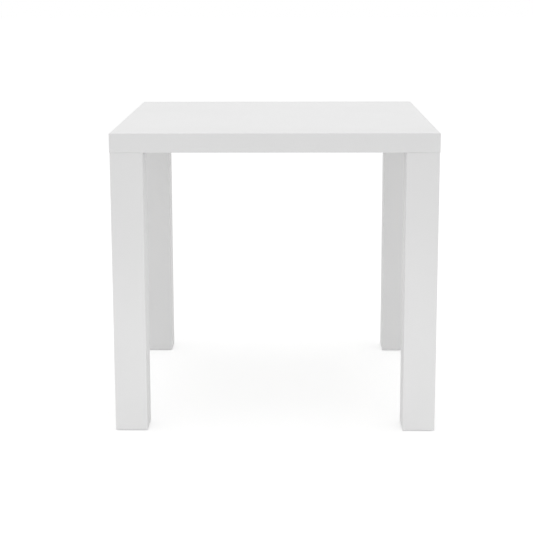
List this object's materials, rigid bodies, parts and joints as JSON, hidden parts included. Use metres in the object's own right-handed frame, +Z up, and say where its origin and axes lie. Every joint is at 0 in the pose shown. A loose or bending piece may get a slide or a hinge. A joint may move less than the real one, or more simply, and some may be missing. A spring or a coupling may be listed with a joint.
{
  "type": "square dining table",
  "caption": "Square dining table with a thick flat hollow-core top and square box legs flush with its corners, in white lacquer.",
  "frame": {"origin": "on the floor, below the middle of the top", "axes": "+Z up out of the tabletop, -Y towards the viewer of the picture, +X to that viewer's right"},
  "size_m": [0.8, 0.8, 0.75],
  "materials": {
    "white_lacquer": "smooth sprayed white lacquer on MDF, satin to gloss",
    "white_underside": "thin matt white sealer on MDF",
    "raw_mdf": "bare MDF",
    "block_timber": "bare planed softwood",
    "zinc_plated_steel": "bright zinc plating on sheet steel",
    "bolt_steel": "zinc-plated steel fasteners",
    "glide_nylon": "moulded pale nylon"
  },
  "bodies": {
    "root": {"back_left_corner_block": "block_timber", "back_left_foot_block": "block_timber", "back_left_glide": "glide_nylon", "back_left_leg_back_board": "white_lacquer", "back_left_leg_bracket": "zinc_plated_steel", "back_left_leg_front_board": "white_lacquer", "back_left_leg_left_board": "white_lacquer", "back_left_leg_right_board": "white_lacquer", "back_rail": "white_lacquer", "back_right_corner_block": "block_timber", "back_right_foot_block": "block_timber", "back_right_glide": "glide_nylon", "back_right_leg_back_board": "white_lacquer", "back_right_leg_bracket": "zinc_plated_steel", "back_right_leg_front_board": "white_lacquer", "back_right_leg_left_board": "white_lacquer", "back_right_leg_right_board": "white_lacquer", "bottom_skin": "white_underside", "captive_nuts": "bolt_steel", "core_rib_front_to_back_1": "raw_mdf", "core_rib_front_to_back_2": "raw_mdf", "core_rib_front_to_back_3": "raw_mdf", "core_rib_front_to_back_4": "raw_mdf", "core_rib_side_to_side_1": "raw_mdf", "core_rib_side_to_side_2": "raw_mdf", "core_rib_side_to_side_3": "raw_mdf", "core_rib_side_to_side_4": "raw_mdf", "front_left_corner_block": "block_timber", "front_left_foot_block": "block_timber", "front_left_glide": "glide_nylon", "front_left_leg_back_board": "white_lacquer", "front_left_leg_bracket": "zinc_plated_steel", "front_left_leg_front_board": "white_lacquer", "front_left_leg_left_board": "white_lacquer", "front_left_leg_right_board": "white_lacquer", "front_rail": "white_lacquer", "front_right_corner_block": "block_timber", "front_right_foot_block": "block_timber", "front_right_glide": "glide_nylon", "front_right_leg_back_board": "white_lacquer", "front_right_leg_bracket": "zinc_plated_steel", "front_right_leg_front_board": "white_lacquer", "front_right_leg_left_board": "white_lacquer", "front_right_leg_right_board": "white_lacquer", "left_rail": "white_lacquer", "leg_bolts": "bolt_steel", "right_rail": "white_lacquer", "top_skin": "white_lacquer"}
  },
  "joints": []
}
